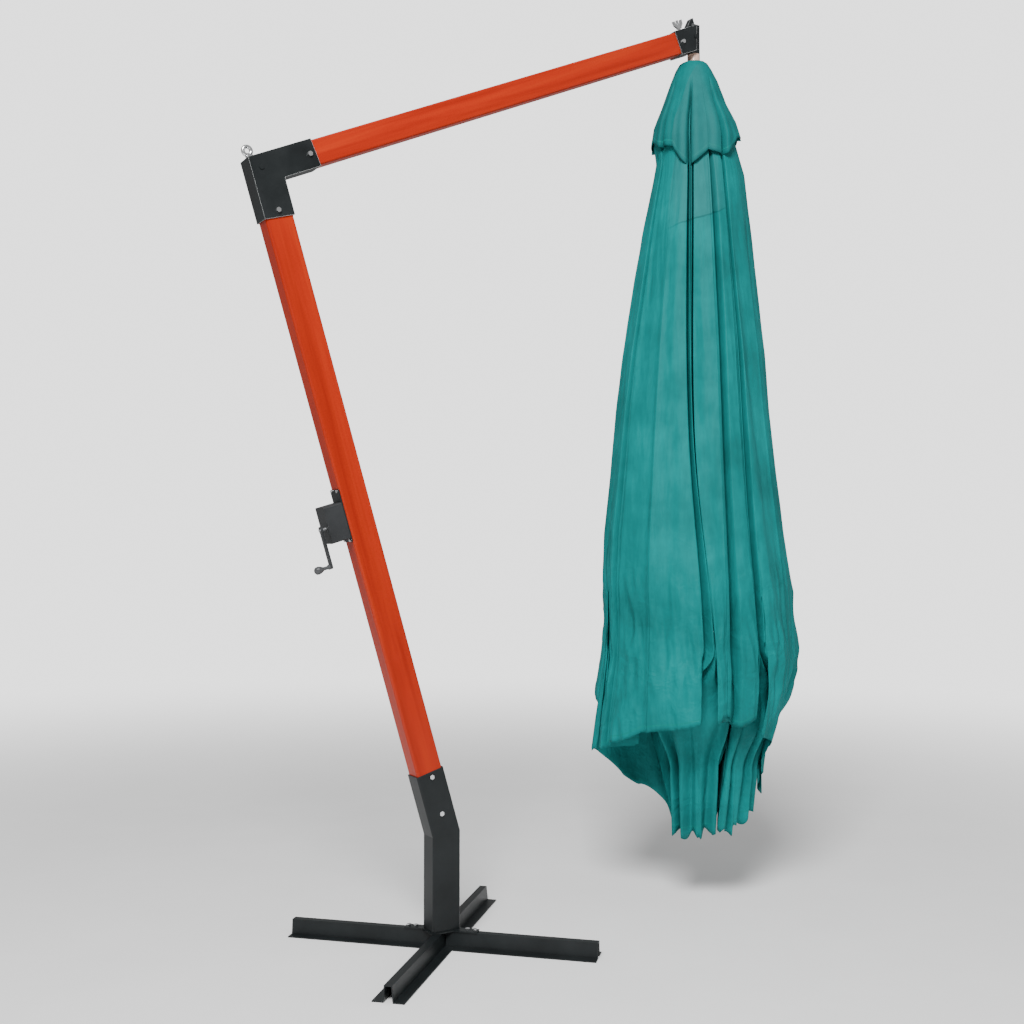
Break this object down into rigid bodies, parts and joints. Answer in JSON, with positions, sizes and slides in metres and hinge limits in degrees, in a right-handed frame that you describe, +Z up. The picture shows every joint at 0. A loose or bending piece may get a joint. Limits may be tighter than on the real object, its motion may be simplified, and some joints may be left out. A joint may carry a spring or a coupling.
{
  "type": "cantilever parasol",
  "caption": "Free-standing parasol with a leaning timber mast, a boom, a winch and a square canopy hanging furled from the boom, on a steel cross base.",
  "frame": {"origin": "centre of the cross base, on the ground", "axes": "+Z up, +X along the boom from the mast towards the canopy, -Y towards the side the picture is taken from"},
  "size_m": [1.7952, 0.6866, 2.811],
  "materials": {
    "black_steel": "satin black paint",
    "timber": "varnished reddish hardwood",
    "bright_zinc": "bright plated",
    "plain_steel": "machined",
    "gear_brass": "machined",
    "hub_plastic": "moulded",
    "grey_case": "dark grey paint",
    "grey_steel": "dark grey paint",
    "grip_plastic": "moulded",
    "collar_plastic": "pale copper-pink",
    "canopy_cloth": "woven polyester",
    "cord": "braided",
    "rib_timber": "plain hardwood",
    "strut_alloy": "mill"
  },
  "bodies": {
    "stand": {"base_beam_long": "black_steel", "base_arm_left": "black_steel", "base_arm_right": "black_steel", "base_bolts": "bright_zinc", "lower_post": "black_steel", "post_bolts": "bright_zinc", "mast": "timber", "elbow_bracket": "black_steel", "elbow_bolts": "bright_zinc", "elbow_eye": "bright_zinc", "elbow_sheave_pin": "plain_steel", "boom": "timber", "end_bracket": "black_steel", "end_bolt": "bright_zinc", "end_sheave_pin": "plain_steel", "wing_nut": "bright_zinc", "hang_collar": "collar_plastic", "top_hub": "hub_plastic", "hub_pins": "plain_steel", "canopy_top": "canopy_cloth", "winch_plate": "black_steel", "winch_case": "grey_case", "winch_screws": "bright_zinc", "lift_cord": "cord", "drop_cord": "cord"},
    "elbow_wheel": {"elbow_sheave": "hub_plastic"},
    "end_wheel": {"end_sheave": "hub_plastic"},
    "drum": {"winch_drum": "plain_steel", "drum_gear": "gear_brass"},
    "crank": {"crank_pinion": "plain_steel", "crank_shaft": "plain_steel", "crank_arm": "grey_steel", "grip_pin": "plain_steel"},
    "grip": {"crank_grip": "grip_plastic"},
    "runner": {"runner": "hub_plastic", "runner_pins": "plain_steel"},
    "rib_1": {"rib_1": "rib_timber", "canopy_1": "canopy_cloth"},
    "strut_1": {"strut_1": "strut_alloy"},
    "rib_2": {"rib_2": "rib_timber", "canopy_2": "canopy_cloth"},
    "strut_2": {"strut_2": "strut_alloy"},
    "rib_3": {"rib_3": "rib_timber", "canopy_3": "canopy_cloth"},
    "strut_3": {"strut_3": "strut_alloy"},
    "rib_4": {"rib_4": "rib_timber", "canopy_4": "canopy_cloth"},
    "strut_4": {"strut_4": "strut_alloy"},
    "rib_5": {"rib_5": "rib_timber", "canopy_5": "canopy_cloth"},
    "strut_5": {"strut_5": "strut_alloy"},
    "rib_6": {"rib_6": "rib_timber", "canopy_6": "canopy_cloth"},
    "strut_6": {"strut_6": "strut_alloy"},
    "rib_7": {"rib_7": "rib_timber", "canopy_7": "canopy_cloth"},
    "strut_7": {"strut_7": "strut_alloy"},
    "rib_8": {"rib_8": "rib_timber", "canopy_8": "canopy_cloth"},
    "strut_8": {"strut_8": "strut_alloy"}
  },
  "joints": [
    {"name": "rib_1_hinge", "type": "hinge", "parent": "stand", "child": "rib_1", "pos_m": [0.94328, 0.02828, 2.575], "axis": [0.7071, -0.7071, 0], "range_deg": [0, 57]},
    {"name": "rib_2_hinge", "type": "hinge", "parent": "stand", "child": "rib_2", "pos_m": [0.915, 0.04, 2.575], "axis": [1, 0, 0], "range_deg": [0, 57]},
    {"name": "rib_3_hinge", "type": "hinge", "parent": "stand", "child": "rib_3", "pos_m": [0.88672, 0.02828, 2.575], "axis": [0.7071, 0.7071, 0], "range_deg": [0, 57]},
    {"name": "rib_4_hinge", "type": "hinge", "parent": "stand", "child": "rib_4", "pos_m": [0.875, 0, 2.575], "axis": [0, 1, 0], "range_deg": [0, 57]},
    {"name": "rib_5_hinge", "type": "hinge", "parent": "stand", "child": "rib_5", "pos_m": [0.88672, -0.02828, 2.575], "axis": [-0.7071, 0.7071, 0], "range_deg": [0, 57]},
    {"name": "rib_6_hinge", "type": "hinge", "parent": "stand", "child": "rib_6", "pos_m": [0.915, -0.04, 2.575], "axis": [-1, 0, 0], "range_deg": [0, 57]},
    {"name": "rib_7_hinge", "type": "hinge", "parent": "stand", "child": "rib_7", "pos_m": [0.94328, -0.02828, 2.575], "axis": [-0.7071, -0.7071, 0], "range_deg": [0, 57]},
    {"name": "rib_8_hinge", "type": "hinge", "parent": "stand", "child": "rib_8", "pos_m": [0.955, 0, 2.575], "axis": [0, -1, 0], "range_deg": [0, 57]},
    {"name": "strut_1_hinge", "type": "hinge", "parent": "rib_1", "child": "strut_1", "pos_m": [0.98149, 0.06649, 1.95736], "axis": [0.7071, -0.7071, 0], "range_deg": [-114, 0]},
    {"name": "strut_2_hinge", "type": "hinge", "parent": "rib_2", "child": "strut_2", "pos_m": [0.915, 0.09404, 1.95736], "axis": [1, 0, 0], "range_deg": [-114, 0]},
    {"name": "strut_3_hinge", "type": "hinge", "parent": "rib_3", "child": "strut_3", "pos_m": [0.84851, 0.06649, 1.95736], "axis": [0.7071, 0.7071, 0], "range_deg": [-114, 0]},
    {"name": "strut_4_hinge", "type": "hinge", "parent": "rib_4", "child": "strut_4", "pos_m": [0.82096, 0, 1.95736], "axis": [0, 1, 0], "range_deg": [-114, 0]},
    {"name": "strut_5_hinge", "type": "hinge", "parent": "rib_5", "child": "strut_5", "pos_m": [0.84851, -0.06649, 1.95736], "axis": [-0.7071, 0.7071, 0], "range_deg": [-114, 0]},
    {"name": "strut_6_hinge", "type": "hinge", "parent": "rib_6", "child": "strut_6", "pos_m": [0.915, -0.09404, 1.95736], "axis": [-1, 0, 0], "range_deg": [-114, 0]},
    {"name": "strut_7_hinge", "type": "hinge", "parent": "rib_7", "child": "strut_7", "pos_m": [0.98149, -0.06649, 1.95736], "axis": [-0.7071, -0.7071, 0], "range_deg": [-114, 0]},
    {"name": "strut_8_hinge", "type": "hinge", "parent": "rib_8", "child": "strut_8", "pos_m": [1.00904, 0, 1.95736], "axis": [0, -1, 0], "range_deg": [-114, 0]},
    {"name": "runner_hinge", "type": "hinge", "parent": "strut_1", "child": "runner", "pos_m": [0.94328, 0.02828, 1.33972], "axis": [0.7071, -0.7071, 0], "range_deg": [0, 57], "deforming": ["drop_cord"]},
    {"name": "drum_spin", "type": "hinge", "parent": "stand", "child": "drum", "pos_m": [-0.29495, -0.008, 1.19739], "axis": [-0.9583, 0, -0.2857], "range_deg": [0, 4680]},
    {"name": "crank_spin", "type": "hinge", "parent": "stand", "child": "crank", "pos_m": [-0.35552, -0.008, 1.15555], "axis": [-0.9583, 0, -0.2857], "range_deg": [-10140, 0]},
    {"name": "elbow_wheel_spin", "type": "hinge", "parent": "stand", "child": "elbow_wheel", "pos_m": [-0.54369, 0, 2.08776], "axis": [0, -1, 0], "range_deg": [0, 2340]},
    {"name": "end_wheel_spin", "type": "hinge", "parent": "stand", "child": "end_wheel", "pos_m": [0.899, 0, 2.74219], "axis": [0, -1, 0], "range_deg": [0, 2340]},
    {"name": "grip_spin", "type": "hinge", "parent": "crank", "child": "grip", "pos_m": [-0.33654, -0.008, 1.05686], "axis": [-0.9583, 0, -0.2857], "continuous": true}
  ],
  "couplings": [
    {"joint": "rib_2_hinge", "follows": "rib_1_hinge", "ratio": 1},
    {"joint": "rib_3_hinge", "follows": "rib_1_hinge", "ratio": 1},
    {"joint": "rib_4_hinge", "follows": "rib_1_hinge", "ratio": 1},
    {"joint": "rib_5_hinge", "follows": "rib_1_hinge", "ratio": 1},
    {"joint": "rib_6_hinge", "follows": "rib_1_hinge", "ratio": 1},
    {"joint": "rib_7_hinge", "follows": "rib_1_hinge", "ratio": 1},
    {"joint": "rib_8_hinge", "follows": "rib_1_hinge", "ratio": 1},
    {"joint": "strut_1_hinge", "follows": "rib_1_hinge", "ratio": -2},
    {"joint": "strut_2_hinge", "follows": "rib_1_hinge", "ratio": -2},
    {"joint": "strut_3_hinge", "follows": "rib_1_hinge", "ratio": -2},
    {"joint": "strut_4_hinge", "follows": "rib_1_hinge", "ratio": -2},
    {"joint": "strut_5_hinge", "follows": "rib_1_hinge", "ratio": -2},
    {"joint": "strut_6_hinge", "follows": "rib_1_hinge", "ratio": -2},
    {"joint": "strut_7_hinge", "follows": "rib_1_hinge", "ratio": -2},
    {"joint": "strut_8_hinge", "follows": "rib_1_hinge", "ratio": -2},
    {"joint": "runner_hinge", "follows": "rib_1_hinge", "ratio": 1},
    {"joint": "drum_spin", "follows": "rib_1_hinge", "ratio": 82.066},
    {"joint": "crank_spin", "follows": "rib_1_hinge", "ratio": -177.81},
    {"joint": "elbow_wheel_spin", "follows": "rib_1_hinge", "ratio": 41.033},
    {"joint": "end_wheel_spin", "follows": "rib_1_hinge", "ratio": 41.033}
  ]
}
